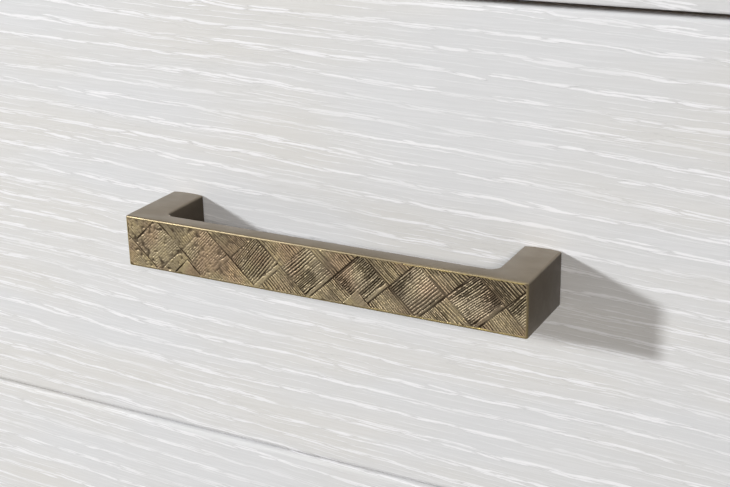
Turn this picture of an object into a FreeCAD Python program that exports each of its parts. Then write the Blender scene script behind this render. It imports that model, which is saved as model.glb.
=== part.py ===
"""Two-drawer nightstand: a mitred case on a four-legged base, with dovetailed drawers on ball slides.

Millimetres. X runs across the front, Y runs from the front to the back and Z is up.
The origin is on the floor, under the middle of the whole piece with its pulls.
"""

import FreeCAD, Part
import math
import os
from types import SimpleNamespace

import Sketcher
from FreeCAD import Placement, Rotation, Vector

doc = FreeCAD.newDocument("nightstand")

# Driving dimensions

DRIVING = {
    # Case
    "case_width": 600,
    "case_depth": 435,
    "case_panel": 25,
    "arris": 1,
    "front_recess": 7,
    "back_thickness": 6,
    "back_recess": 3,
    "rabbet_width": 10,
    "back_clearance": 0.5,
    "spline_thickness": 4,
    "spline_width": 16,
    "spline_stop": 14,
    "rail_thickness": 18,
    "rail_depth": 60,
    "dowel_diameter": 8,
    "dowel_in_side": 13,
    "dowel_in_rail": 20,
    "dowel_inset": 15,
    # Drawer fronts
    "front_height": 178.4,
    "front_thickness": 20,
    "front_gap": 0.6,
    "front_reveal": 2.2,
    "front_edge": 2,
    # Drawer boxes
    "box_wall": 14,
    "box_lift": 20,
    "box_headroom": 27,
    "box_back_gap": 30,
    "bottom_thickness": 6,
    "groove_depth": 6,
    "groove_lift": 10,
    "bottom_clearance": 0.5,
    "tail_count": 4,
    "tail_width": 21,
    "tail_slope": 7,
    # Ball slides
    "slide_thickness": 12.7,
    "slide_height": 45.5,
    "slide_sheet": 1.2,
    "slide_flange": 10,
    "slide_setback": 3,
    "slide_end_gap": 17,
    "slide_lift": 52,
    "slide_hole_inset": 35,
    "access_hole": 14,
    "bend_radius": 1,
    "web_gap": 2,
    "flange_clearance": 0.6,
    "ball_diameter": 3.15,
    "ball_clearance": 0.2,
    "ball_pitch": 18,
    "ball_count": 10,
    "cage_thickness": 0.8,
    "cage_width": 5,
    # Pulls
    "pull_length": 152,
    "pull_height": 19,
    "pull_projection": 30,
    "pull_leg": 13,
    "pull_bar": 6.2,
    "pull_corner": 3,
    "pull_edge": 0.5,
    "pull_grip": 10,
    "pull_rise": 0.8,
    # Base
    "leg_height": 200,
    "leg_top": 38,
    "leg_foot": 24,
    "leg_inset": 16,
    "leg_edge": 1.5,
    "apron_height": 50,
    "apron_thickness": 20,
    "apron_setback": 3,
    "tenon_thickness": 9,
    "tenon_height": 34,
    "tenon_clearance": 2.5,
    "glide_diameter": 20,
    "glide_height": 6,
    "glide_rim": 2,
    "nail_diameter": 3,
    "nail_length": 14,
    # Fasteners
    "screw_clearance": 0.25,
    "thread_clearance": 0.05,
    "hole_room": 0.5,
    "pull_screw": 4,
    "front_screw": 4,
    "front_screw_grip": 14,
    "front_screw_inset": 50,
    "front_screw_edge": 28,
    "slide_screw": 3.5,
    "slide_screw_grip": 11,
    "back_screw": 3.5,
    "back_screw_grip": 15,
    "back_screw_pitch": 130,
    "back_screw_inset": 40,
    "base_screw": 5,
    "base_screw_grip": 18,
    "base_screw_sink": 22,
    "base_screw_inset": 120,
}


class Size:
    """A length in millimetres together with the spreadsheet expression that it comes from."""

    def __init__(self, text, value):
        self.text = text
        self.value = value

    def __add__(self, other):
        other = as_size(other)
        return Size(f"({self.text} + {other.text})", self.value + other.value)

    def __sub__(self, other):
        other = as_size(other)
        return Size(f"({self.text} - {other.text})", self.value - other.value)

    def __mul__(self, other):
        other = as_size(other)
        return Size(f"({self.text} * {other.text})", self.value * other.value)

    def __truediv__(self, other):
        other = as_size(other)
        return Size(f"({self.text} / {other.text})", self.value / other.value)

    def __rsub__(self, other):
        return as_size(other) - self

    def __neg__(self):
        return Size(f"(0 - {self.text})", -self.value)

    __radd__ = __add__
    __rmul__ = __mul__


def as_size(number):
    return number if isinstance(number, Size) else Size(f"({float(number)})", float(number))


def spreadsheet():
    """Writes the driving dimensions to a sheet and returns each one as a Size under its alias."""
    sheet = doc.addObject("Spreadsheet::Sheet", "sizes")
    for row, (alias, number) in enumerate(DRIVING.items(), start=1):
        sheet.set(f"A{row}", alias)
        sheet.set(f"B{row}", str(number))
        sheet.setAlias(f"B{row}", alias)
    doc.recompute()
    return SimpleNamespace(**{alias: Size(f"sizes.{alias}", sheet.get(alias)) for alias in DRIVING})


S = spreadsheet()

# Planes and places that several pieces share

LEFT, RIGHT = -1, 1
LOW, HIGH = -1, 1

half_width = S.case_width / 2
inner_half = half_width - S.case_panel
pull_stand = S.pull_projection - S.front_recess
front_y = (pull_stand - S.case_depth) / 2
back_y = (pull_stand + S.case_depth) / 2
rabbet_y = back_y - S.back_recess - S.back_thickness

case_bottom = S.leg_height
inner_bottom = case_bottom + S.case_panel
inner_top = inner_bottom + 2 * (S.front_height + S.front_reveal) + S.front_gap
case_top = inner_top + S.case_panel
lower_z = inner_bottom + S.front_reveal
upper_z = lower_z + S.front_height + S.front_gap
DRAWERS = {"upper": upper_z, "lower": lower_z}

face_y = front_y + S.front_recess
box_y = face_y + S.front_thickness
box_back_y = rabbet_y - S.box_back_gap
box_height = S.front_height - S.box_lift - S.box_headroom
box_half = inner_half - S.slide_thickness
box_inner_half = box_half - S.box_wall
slide_y = box_y + S.slide_setback
slide_length = box_back_y - S.slide_end_gap - slide_y
slide_z = S.box_lift + S.slide_lift
pull_z = S.front_height / 2 + S.pull_rise
pull_screw_x = (S.pull_length - S.pull_leg) / 2

# Proportions of a screw, which hold at any diameter: shares of its diameter, then of its head
HEAD_SPREAD = 2.0
HEAD_RISE = 0.62
THIN_HEAD_RISE = 0.4
POINT_LENGTH = 0.6
RIM_HEIGHT = 0.35
SHOULDER_REACH, SHOULDER_HEIGHT = 0.72, 0.82
RECESS_LENGTH, RECESS_WIDTH, RECESS_DEPTH = 1.1, 0.26, 0.6

# Two places nearer than this are one
SAME_PLACE = 1e-6

nodes = []

# Features of a body, each placed along one axis between two places

PLANES = {"x": ("YZ_Plane", 1), "y": ("XZ_Plane", -1), "z": ("XY_Plane", 1)}


def new_body(label, lift=None):
    """An empty body that is handed in under its label, raised by lift where that is given."""
    body = doc.addObject("PartDesign::Body", label)
    body.Label = label
    if lift is not None:
        body.setExpression("Placement.Base.z", lift.text)
    nodes.append(body)
    return body


def sketch_at(body, axis, place):
    """A sketch across an axis: its own two directions are the other two axes, in X, Y, Z order."""
    role, sign = PLANES[axis]
    plane = next(f for f in body.Origin.OriginFeatures if f.Role == role)
    sketch = body.newObject("Sketcher::SketchObject", f"{body.Name}_sketch")
    sketch.AttachmentSupport = (plane, [""])
    sketch.MapMode = "FlatFace"
    sketch.setExpression("AttachmentOffset.Base.z", (place * sign).text)
    return sketch


def hold(sketch, geometry, point, place):
    """Ties one point of a sketch to its two distances from the origin."""
    for kind, distance in zip(("DistanceX", "DistanceY"), place):
        size = as_size(distance)
        index = sketch.addConstraint(Sketcher.Constraint(kind, -1, 1, geometry, point, size.value))
        sketch.setExpression(f"Constraints[{index}]", size.text)


def outline(body, axis, place, corners):
    """A closed outline of straight lines through the corners."""
    sketch = sketch_at(body, axis, place)
    points = [Vector(as_size(a).value, as_size(b).value, 0) for a, b in corners]
    following = points[1:] + points[:1]
    for start, end in zip(points, following):
        sketch.addGeometry(Part.LineSegment(start, end), False)
    for index, corner in enumerate(corners):
        after = (index + 1) % len(corners)
        sketch.addConstraint(Sketcher.Constraint("Coincident", index, 2, after, 1))
        hold(sketch, index, 1, corner)
    return sketch


def rings(body, axis, place, centres, diameter):
    """Circles of one diameter."""
    sketch = sketch_at(body, axis, place)
    for centre in centres:
        middle = Vector(as_size(centre[0]).value, as_size(centre[1]).value, 0)
        circle = sketch.addGeometry(Part.Circle(middle, Vector(0, 0, 1), diameter.value / 2), False)
        hold(sketch, circle, 3, centre)
        index = sketch.addConstraint(Sketcher.Constraint("Diameter", circle, diameter.value))
        sketch.setExpression(f"Constraints[{index}]", diameter.text)
    return sketch


def add(body, axis, low, high, corners):
    """Pads an outline from low to high along the axis."""
    pad = body.newObject("PartDesign::Pad", f"{body.Name}_pad")
    pad.Profile = outline(body, axis, low, corners)
    pad.setExpression("Length", (high - low).text)
    pad.Reversed = axis == "y"
    return pad


def pocket(body, axis, low, high, sketch):
    cut = body.newObject("PartDesign::Pocket", f"{body.Name}_pocket")
    cut.Profile = sketch
    cut.setExpression("Length", (high - low).text)
    cut.Reversed = axis != "y"
    return cut


def take(body, axis, low, high, corners):
    """Cuts an outline from low to high along the axis."""
    return pocket(body, axis, low, high, outline(body, axis, low, corners))


def drill(body, axis, low, high, centres, diameter):
    """Drills round holes from low to high along the axis."""
    return pocket(body, axis, low, high, rings(body, axis, low, centres, diameter))


def repeat_up(body, feature, count, pitch):
    """Repeats a feature upwards at a steady pitch."""
    pattern = body.newObject("PartDesign::LinearPattern", f"{body.Name}_row")
    pattern.Originals = [feature]
    pattern.Direction = (next(f for f in body.Origin.OriginFeatures if f.Role == "Z_Axis"), [""])
    pattern.setExpression("Occurrences", count.text)
    pattern.setExpression("Length", (pitch * (count - 1)).text)
    body.Tip = pattern
    return pattern


def round_edges(body, radius, chosen):
    """Rounds the edges of a body that the chosen test picks by their two ends."""
    doc.recompute()
    base = body.Tip
    names = [
        f"Edge{index}"
        for index, edge in enumerate(base.Shape.Edges, start=1)
        if len(edge.Vertexes) == 2 and chosen(*(vertex.Point for vertex in edge.Vertexes))
    ]
    fillet = body.newObject("PartDesign::Fillet", f"{body.Name}_fillet")
    fillet.Base = (base, names)
    fillet.setExpression("Radius", radius.text)


def rectangle(low_a, low_b, high_a, high_b):
    return [(low_a, low_b), (high_a, low_b), (high_a, high_b), (low_a, high_b)]


def near(a, b):
    return abs(a - b) < SAME_PLACE


def group(label, shapes, lift=None):
    """Separate like solids that share one node."""
    feature = doc.addObject("Part::Feature", label)
    feature.Label = label
    feature.Shape = Part.makeCompound(shapes)
    if lift is not None:
        feature.setExpression("Placement.Base.z", lift.text)
    nodes.append(feature)


def stand(shape, place, towards):
    """A copy of a shape made along +Z, moved to a place and turned to point towards a direction."""
    copy = shape.copy()
    point = Vector(*(as_size(number).value for number in place))
    copy.Placement = Placement(point, Rotation(Vector(0, 0, 1), Vector(*towards)))
    return copy


# Fasteners


def screw(diameter, length, rise=HEAD_RISE):
    """A domed cross-recessed screw: its head stands up from the origin and its shank runs down."""
    radius = diameter.value / 2 - S.thread_clearance.value
    head = radius * HEAD_SPREAD
    top = radius * 2 * rise
    point = length.value - radius * 2 * POINT_LENGTH
    rim = Vector(head, 0, top * RIM_HEIGHT)
    crown = Vector(0, 0, top)
    shoulder = Vector(head * SHOULDER_REACH, 0, top * SHOULDER_HEIGHT)
    side = [crown, Vector(0, 0, -length.value), Vector(radius, 0, -point)]
    side += [Vector(radius, 0, 0), Vector(head, 0, 0), rim]
    edges = [Part.makeLine(a, b) for a, b in zip(side, side[1:])]
    edges.append(Part.Arc(rim, shoulder, crown).toShape())
    solid = Part.Face(Part.Wire(edges)).revolve(Vector(0, 0, 0), Vector(0, 0, 1), 360)
    long, narrow = head * RECESS_LENGTH, head * RECESS_WIDTH
    for along, across in ((long, narrow), (narrow, long)):
        corner = Vector(-along / 2, -across / 2, top * (1 - RECESS_DEPTH))
        solid = solid.cut(Part.makeBox(along, across, top, corner))
    return solid


def dowel():
    """A plain dowel with eased ends, standing on the origin."""
    radius = S.dowel_diameter.value / 2 - S.thread_clearance.value
    pin = Part.makeCylinder(radius, (S.dowel_in_side + S.dowel_in_rail).value)
    ends = [edge for edge in pin.Edges if len(edge.Vertexes) == 1]
    return pin.makeChamfer(S.arris.value, ends)


# Case panels


def case_corner(side, level):
    """The points of one mitred corner: side is LEFT or RIGHT, level is LOW or HIGH."""
    outer_z = case_top if level == HIGH else case_bottom
    inner_z = inner_top if level == HIGH else inner_bottom
    middle = (side * (half_width - S.case_panel / 2), outer_z - level * S.case_panel / 2)
    reach = S.spline_width / 2 / math.sqrt(2)
    half = S.spline_thickness / 2 / math.sqrt(2)
    spline = [
        (middle[0] + side * (a * reach + b * half), middle[1] + level * (b * half - a * reach))
        for a, b in ((-1, -1), (1, -1), (1, 1), (-1, 1))
    ]
    return SimpleNamespace(
        flat=(side * (half_width - S.arris), outer_z),
        tip=(side * (half_width - S.arris / 2), outer_z - level * S.arris / 2),
        upright=(side * half_width, outer_z - level * S.arris),
        inner=(side * inner_half, inner_z),
        spline=spline,
    )


CORNERS = {(side, level): case_corner(side, level) for side in (LEFT, RIGHT) for level in (LOW, HIGH)}
spline_low_y = front_y + S.spline_stop
spline_high_y = rabbet_y - S.spline_stop / 2


def case_panel(label, corners, face):
    """One mitred panel between two corners, with its rabbet and spline slots: face is flat or upright."""
    first, last = corners
    body = new_body(label)
    shape = [getattr(first, face), getattr(last, face), last.tip, last.inner, first.inner, first.tip]
    add(body, "y", front_y, back_y, shape)
    rabbet_half = inner_half + S.rabbet_width
    opening = (-rabbet_half, inner_bottom - S.rabbet_width, rabbet_half, inner_top + S.rabbet_width)
    take(body, "y", rabbet_y, back_y, rectangle(*opening))
    for corner in corners:
        take(body, "y", spline_low_y, spline_high_y, corner.spline)
    return body


def ease_front(body, across):
    """Rounds the two long edges of a panel's front: across is the index of the axis that they run along."""

    def chosen(a, b):
        return near(a.y, front_y.value) and near(b.y, front_y.value) and near(a[2 - across], b[2 - across])

    round_edges(body, S.arris, chosen)


front_rail_y = box_y + S.slide_setback
rear_rail_y = rabbet_y - S.back_screw_grip - S.rail_depth
RAILS = {"front": front_rail_y, "rear": rear_rail_y}
rail_z = upper_z - S.front_gap / 2


def rail_dowel_places(rail_y):
    return [(rail_y + S.dowel_inset, rail_z), (rail_y + S.rail_depth - S.dowel_inset, rail_z)]


def slide_hole_places(lift=0):
    along = (S.slide_hole_inset, slide_length / 2, slide_length - S.slide_hole_inset)
    return [(slide_y + hole, slide_z + lift) for hole in along]


def side_panel(label, side):
    panel = case_panel(label, (CORNERS[side, LOW], CORNERS[side, HIGH]), "upright")
    inner = side * inner_half
    for depth, places, diameter in (
        (S.dowel_in_side, sum((rail_dowel_places(y) for y in RAILS.values()), []), S.dowel_diameter),
        (S.slide_screw_grip, sum((slide_hole_places(z) for z in DRAWERS.values()), []), S.slide_screw),
    ):
        low, high = (inner, inner + depth) if side == RIGHT else (inner - depth, inner)
        drill(panel, "x", low, high, places, diameter)
    ease_front(panel, 2)
    return panel


def base_screw_places():
    """Where screws run up through the aprons into the bottom panel."""
    spread_x = half_width - S.base_screw_inset
    front_middle = front_y + S.leg_inset + S.apron_setback + S.apron_thickness / 2
    back_middle = back_y - S.leg_inset - S.apron_setback - S.apron_thickness / 2
    side_middle = half_width - S.leg_inset - S.apron_setback - S.apron_thickness / 2
    middle_y = (front_y + back_y) / 2
    return SimpleNamespace(
        front=[(-spread_x, front_middle), (spread_x, front_middle)],
        rear=[(-spread_x, back_middle), (spread_x, back_middle)],
        left=[(-side_middle, middle_y)],
        right=[(side_middle, middle_y)],
    )


BASE_SCREWS = base_screw_places()


def spread(low, high, pitch):
    """Places from low to high at an even spacing near the pitch."""
    steps = max(1, round((high - low).value / pitch.value))
    return [low + (high - low) * n / steps for n in range(steps + 1)]


def back_screw_places():
    """Screw places round the rim of the back panel, by the panel that each row goes into."""
    middle = S.rabbet_width / 2
    side_x = inner_half + middle
    low_z, high_z = inner_bottom - middle, inner_top + middle
    across = spread(S.back_screw_inset - side_x, side_x - S.back_screw_inset, S.back_screw_pitch)
    upward = spread(low_z + S.back_screw_inset, high_z - S.back_screw_inset, S.back_screw_pitch)
    return SimpleNamespace(
        top=[(x, high_z) for x in across],
        bottom=[(x, low_z) for x in across],
        left=[(-side_x, z) for z in upward],
        right=[(side_x, z) for z in upward],
    )


BACK_SCREWS = back_screw_places()


def all_places(rows):
    """The places of every row in one list."""
    return sum(vars(rows).values(), [])


def make_case():
    top = case_panel("top_panel", (CORNERS[LEFT, HIGH], CORNERS[RIGHT, HIGH]), "flat")
    bottom = case_panel("bottom_panel", (CORNERS[LEFT, LOW], CORNERS[RIGHT, LOW]), "flat")
    ease_front(top, 0)
    ease_front(bottom, 0)
    base_holes = all_places(BASE_SCREWS)
    drill(bottom, "z", case_bottom, case_bottom + S.base_screw_grip, base_holes, S.base_screw)
    left = side_panel("left_side_panel", LEFT)
    right = side_panel("right_side_panel", RIGHT)
    for name, panel in (("top", top), ("bottom", bottom), ("left", left), ("right", right)):
        holes = getattr(BACK_SCREWS, name)
        drill(panel, "y", rabbet_y - S.back_screw_grip, rabbet_y, holes, S.back_screw)
    make_splines()
    make_back()
    make_rails()


def make_splines():
    """A stopped spline across each mitre."""
    splines = []
    for corner in CORNERS.values():
        points = [Vector(a.value, spline_low_y.value, b.value) for a, b in corner.spline]
        face = Part.Face(Part.makePolygon(points + points[:1]))
        splines.append(face.extrude(Vector(0, (spline_high_y - spline_low_y).value, 0)))
    group("mitre_splines", splines)


def make_back():
    back = new_body("back_panel")
    outer_y = rabbet_y + S.back_thickness
    rim = S.rabbet_width - S.back_clearance
    half = inner_half + rim
    places = all_places(BACK_SCREWS)
    add(back, "y", rabbet_y, outer_y, rectangle(-half, inner_bottom - rim, half, inner_top + rim))
    drill(back, "y", rabbet_y, outer_y, places, S.back_screw + 2 * S.screw_clearance)
    length = S.back_thickness + S.back_screw_grip - S.hole_room
    pin = screw(S.back_screw, length, THIN_HEAD_RISE)
    group("back_panel_screws", [stand(pin, (x, outer_y, z), (0, 1, 0)) for x, z in places])


def make_rails():
    """The stretchers between the drawers, dowelled into the sides."""
    pins = []
    for name, rail_y in RAILS.items():
        rail = new_body(f"{name}_mid_rail")
        low_z = rail_z - S.rail_thickness / 2
        add(rail, "x", -inner_half, inner_half,
            rectangle(rail_y, low_z, rail_y + S.rail_depth, low_z + S.rail_thickness))
        places = rail_dowel_places(rail_y)
        drill(rail, "x", -inner_half, S.dowel_in_rail - inner_half, places, S.dowel_diameter)
        drill(rail, "x", inner_half - S.dowel_in_rail, inner_half, places, S.dowel_diameter)
        for side in (LEFT, RIGHT):
            start = side * (inner_half + S.dowel_in_side)
            pins += [stand(dowel(), (start, y, z), (-side, 0, 0)) for y, z in places]
    group("rail_dowels", pins)


# Base


def leg_square(side, end_y, toward, width):
    """A leg's square section, which keeps the leg's outer corner at any width."""
    outer = side * (half_width - S.leg_inset)
    return rectangle(outer, end_y, outer - side * width, end_y + toward * width)


apron_low = case_bottom - S.apron_height
tenon_low = case_bottom - (S.apron_height + S.tenon_height) / 2
tenon_high = tenon_low + S.tenon_height
leg_front_y = front_y + S.leg_inset
leg_back_y = back_y - S.leg_inset
leg_outer_x = half_width - S.leg_inset
tenon_near = S.apron_setback + (S.apron_thickness - S.tenon_thickness) / 2
tenon_far = tenon_near + S.tenon_thickness
mortise_start = tenon_far + S.tenon_clearance
tenon_length = S.leg_top - mortise_start


def make_leg(label, side, end_y, toward):
    """One tapered leg, and its foot's middle: toward is 1 on a front leg and -1 on a rear leg."""
    leg = new_body(label)
    add(leg, "z", apron_low, case_bottom, leg_square(side, end_y, toward, S.leg_top))
    taper = leg.newObject("PartDesign::AdditiveLoft", f"{label}_taper")
    taper.Profile = outline(leg, "z", apron_low, leg_square(side, end_y, toward, S.leg_top))
    taper.Sections = [outline(leg, "z", S.glide_height, leg_square(side, end_y, toward, S.leg_foot))]
    taper.Ruled = True
    leg.Tip = taper
    round_edges(leg, S.leg_edge, lambda a, b: not near(a.z, b.z))
    outer_x = side * leg_outer_x
    for axis, outer, inward, crossing, across in (
        ("x", outer_x, -side, end_y, toward),
        ("y", end_y, toward, outer_x, -side),
    ):
        ends = (outer + inward * mortise_start, outer + inward * S.leg_top)
        low, high = ends if inward > 0 else reversed(ends)
        sides = (crossing + across * tenon_near, crossing + across * tenon_far)
        take(leg, axis, low, high, rectangle(sides[0], tenon_low, sides[1], tenon_high))
    foot = (outer_x - side * S.leg_foot / 2, end_y + toward * S.leg_foot / 2)
    drill(leg, "z", S.glide_height, S.glide_height + S.nail_length, [foot], S.nail_diameter)
    return foot


def make_apron(label, axis, low, high, near_face, far_face, screws):
    """A rail between two legs, with a tenon at each end and counterbored screw holes."""
    apron = new_body(label)
    middle = (near_face + far_face) / 2
    add(apron, axis, low, high, rectangle(near_face, apron_low, far_face, case_bottom))
    tenon = rectangle(middle - S.tenon_thickness / 2, tenon_low, middle + S.tenon_thickness / 2, tenon_high)
    add(apron, axis, low - tenon_length, low, tenon)
    add(apron, axis, high, high + tenon_length, tenon)
    shank = S.base_screw + 2 * S.screw_clearance
    sink = S.base_screw * HEAD_SPREAD + 4 * S.screw_clearance
    drill(apron, "z", apron_low, case_bottom, screws, shank)
    drill(apron, "z", apron_low, apron_low + S.base_screw_sink, screws, sink)


def glide():
    """A nail-on glide standing on the origin: a round pad with a soft rim and its nail."""
    height = S.glide_height.value
    pad = Part.makeCylinder(S.glide_diameter.value / 2, height)
    floor_edge = [edge for edge in pad.Edges if len(edge.Vertexes) == 1 and near(edge.CenterOfMass.z, 0)]
    pad = pad.makeFillet(S.glide_rim.value, floor_edge)
    nail = Part.makeCylinder(
        S.nail_diameter.value / 2 - S.thread_clearance.value, S.nail_length.value, Vector(0, 0, height))
    return pad.fuse(nail)


def make_base():
    feet = []
    for end, end_y, toward in (("front", leg_front_y, 1), ("rear", leg_back_y, -1)):
        for name, side in (("left", LEFT), ("right", RIGHT)):
            feet.append(make_leg(f"{end}_{name}_leg", side, end_y, toward))
    group("leg_glides", [stand(glide(), (x, y, 0), (0, 0, 1)) for x, y in feet])

    between_x = leg_outer_x - S.leg_top
    low_y, high_y = leg_front_y + S.leg_top, leg_back_y - S.leg_top
    for name, axis, low, high, outer, inward, screws in (
        ("front_apron", "x", -between_x, between_x, leg_front_y, 1, BASE_SCREWS.front),
        ("rear_apron", "x", -between_x, between_x, leg_back_y, -1, BASE_SCREWS.rear),
        ("left_apron", "y", low_y, high_y, -leg_outer_x, 1, BASE_SCREWS.left),
        ("right_apron", "y", low_y, high_y, leg_outer_x, -1, BASE_SCREWS.right),
    ):
        near_face = outer + inward * S.apron_setback
        make_apron(name, axis, low, high, near_face, near_face + inward * S.apron_thickness, screws)

    length = S.apron_height - S.base_screw_sink + S.base_screw_grip - S.hole_room
    pin = screw(S.base_screw, length)
    seat = apron_low + S.base_screw_sink
    group("base_screws", [stand(pin, (x, y, seat), (0, 0, -1)) for x, y in all_places(BASE_SCREWS)])


# Drawers, each made with its front's lower edge at zero and then raised to its place

box_top = S.box_lift + box_height
tail_pitch = box_height / S.tail_count
box_front_y = box_y + S.box_wall
box_rear_y = box_back_y - S.box_wall
groove_z = S.box_lift + S.groove_lift


def tail(end_y, inward):
    """The lowest dovetail at one end of a box side, narrower by the slope at its root."""
    middle = S.box_lift + tail_pitch / 2
    end_half = S.tail_width / 2
    root_half = end_half - S.box_wall / S.tail_slope
    root_y = end_y + inward * S.box_wall
    return [(end_y, middle - end_half), (root_y, middle - root_half),
            (root_y, middle + root_half), (end_y, middle + end_half)]


TAILS = (tail(box_y, 1), tail(box_back_y, -1))
FRONT_SCREWS = [
    (side * (box_half - S.front_screw_inset), z)
    for side in (LEFT, RIGHT)
    for z in (S.box_lift + S.front_screw_edge, box_top - S.front_screw_edge)
]
PULL_SCREWS = [(side * pull_screw_x, pull_z) for side in (LEFT, RIGHT)]


def make_box_side(label, side, lift):
    wall = new_body(label, lift)
    outer, inner = side * box_half, side * box_inner_half
    low, high = (outer, inner) if side == LEFT else (inner, outer)
    add(wall, "x", low, high, rectangle(box_front_y, S.box_lift, box_rear_y, box_top))
    for shape in TAILS:
        repeat_up(wall, add(wall, "x", low, high, shape), S.tail_count, tail_pitch)
    groove = (inner, inner + S.groove_depth) if side == RIGHT else (inner - S.groove_depth, inner)
    take(wall, "x", *groove, rectangle(box_front_y - S.groove_depth, groove_z,
                                       box_rear_y + S.groove_depth, groove_z + S.bottom_thickness))
    pilot = (outer - S.slide_screw_grip, outer) if side == RIGHT else (outer, outer + S.slide_screw_grip)
    drill(wall, "x", *pilot, slide_hole_places(), S.slide_screw)


def make_box_end(label, low_y, lift, tails, groove_y):
    """The box's front or back: a board across the whole box with a dovetail socket row in each end."""
    board = new_body(label, lift)
    add(board, "y", low_y, low_y + S.box_wall, rectangle(-box_half, S.box_lift, box_half, box_top))
    for low, high in ((-box_half, -box_inner_half), (box_inner_half, box_half)):
        repeat_up(board, take(board, "x", low, high, tails), S.tail_count, tail_pitch)
    half = box_inner_half + S.groove_depth
    take(board, "y", groove_y, groove_y + S.groove_depth,
         rectangle(-half, groove_z, half, groove_z + S.bottom_thickness))
    return board


def make_box(name, lift):
    make_box_side(f"{name}_box_left_side", LEFT, lift)
    make_box_side(f"{name}_box_right_side", RIGHT, lift)
    make_box_end(f"{name}_box_back", box_rear_y, lift, TAILS[1], box_rear_y)
    end = make_box_end(f"{name}_box_front", box_y, lift, TAILS[0], box_front_y - S.groove_depth)
    drill(end, "y", box_y, box_front_y, FRONT_SCREWS, S.front_screw + 2 * S.screw_clearance)
    drill(end, "y", box_y, box_front_y, PULL_SCREWS, S.pull_screw + 2 * S.screw_clearance)

    bottom = new_body(f"{name}_box_bottom", lift)
    reach = S.groove_depth - S.bottom_clearance
    add(bottom, "z", groove_z, groove_z + S.bottom_thickness,
        rectangle(-box_inner_half - reach, box_front_y - reach, box_inner_half + reach, box_rear_y + reach))


def make_front(name, lift):
    front = new_body(f"{name}_drawer_front", lift)
    half = inner_half - S.front_reveal
    add(front, "y", face_y, box_y, rectangle(-half, 0, half, S.front_height))
    drill(front, "y", face_y, box_y, PULL_SCREWS, S.pull_screw + 2 * S.screw_clearance)
    drill(front, "y", box_y - S.front_screw_grip, box_y, FRONT_SCREWS, S.front_screw)
    round_edges(front, S.front_edge, lambda a, b: near(a.y, face_y.value) and near(b.y, face_y.value))

    pin = screw(S.front_screw, S.box_wall + S.front_screw_grip - S.hole_room)
    pins = [stand(pin, (x, box_front_y, z), (0, 1, 0)) for x, z in FRONT_SCREWS]
    group(f"{name}_front_screws", pins, lift)


def make_pull(name, lift):
    """A cast bar pull: one U-shaped piece with a tapped hole up each leg, and its two machine screws."""
    pull = new_body(f"{name}_pull", lift)
    half, leg = S.pull_length / 2, S.pull_leg
    bar_front = face_y - S.pull_projection
    bar_back = bar_front + S.pull_bar
    low_z = pull_z - S.pull_height / 2
    shape = [(-half, bar_front), (half, bar_front), (half, face_y), (half - leg, face_y)]
    shape += [(half - leg, bar_back), (leg - half, bar_back), (leg - half, face_y), (-half, face_y)]
    add(pull, "z", low_z, low_z + S.pull_height, shape)
    drill(pull, "y", face_y - S.pull_grip, face_y, PULL_SCREWS, S.pull_screw)

    def inner_corner(a, b):
        return near(a.x, b.x) and near(a.y, b.y) and near(a.y, bar_back.value)

    def outer_corner(a, b):
        return near(a.x, b.x) and near(a.y, b.y) and near(abs(a.x), half.value)

    round_edges(pull, S.pull_corner, inner_corner)
    round_edges(pull, S.pull_edge, outer_corner)

    pin = screw(S.pull_screw, S.box_wall + S.front_thickness + S.pull_grip - S.hole_room)
    pins = [stand(pin, (x, box_front_y, z), (0, 1, 0)) for x, z in PULL_SCREWS]
    group(f"{name}_pull_screws", pins, lift)


# Ball slides: channels nested between the case side and the drawer side

ball_gap = S.ball_diameter + 2 * S.ball_clearance
outer_half = S.slide_height / 2
middle_half = outer_half - S.slide_sheet - ball_gap
drawer_half = middle_half - S.slide_sheet - ball_gap
middle_web = S.slide_sheet + S.web_gap
middle_flange = S.slide_thickness - S.slide_sheet - S.flange_clearance
drawer_flange = middle_web + S.slide_sheet + S.flange_clearance
outer_ball = (outer_half - S.slide_sheet + middle_half) / 2
inner_ball = (middle_half - S.slide_sheet + drawer_half) / 2
outer_ball_x = (middle_web + S.slide_flange) / 2
inner_ball_x = (drawer_flange + middle_flange) / 2
cage_length = S.ball_pitch * (S.ball_count - 1) + 2 * S.cage_width
cage_y = slide_y + (slide_length - cage_length) / 2


def from_case(side, depth):
    """The X place at a depth from a case side's inner face towards the drawer."""
    return side * (inner_half - depth)


def make_channel(label, side, web, flange, half, lift):
    """A bent channel: its web's outer face and its flanges' ends are given as depths from the case side."""
    step = S.slide_sheet if flange.value > web.value else -S.slide_sheet
    web_x, inner_x, flange_x = (from_case(side, depth) for depth in (web, web + step, flange))
    low_z, high_z = slide_z - half, slide_z + half
    inner_low, inner_high = low_z + S.slide_sheet, high_z - S.slide_sheet
    channel = new_body(label, lift)
    shape = [(web_x, low_z), (flange_x, low_z), (flange_x, inner_low), (inner_x, inner_low)]
    shape += [(inner_x, inner_high), (flange_x, inner_high), (flange_x, high_z), (web_x, high_z)]
    add(channel, "y", slide_y, slide_y + slide_length, shape)
    low, high = sorted((web_x, inner_x), key=lambda place: place.value)

    def outer_bend(a, b):
        return near(a.x, web_x.value) and near(b.x, web_x.value) and near(a.z, b.z)

    round_edges(channel, S.bend_radius, outer_bend)
    return channel, low, high


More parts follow.
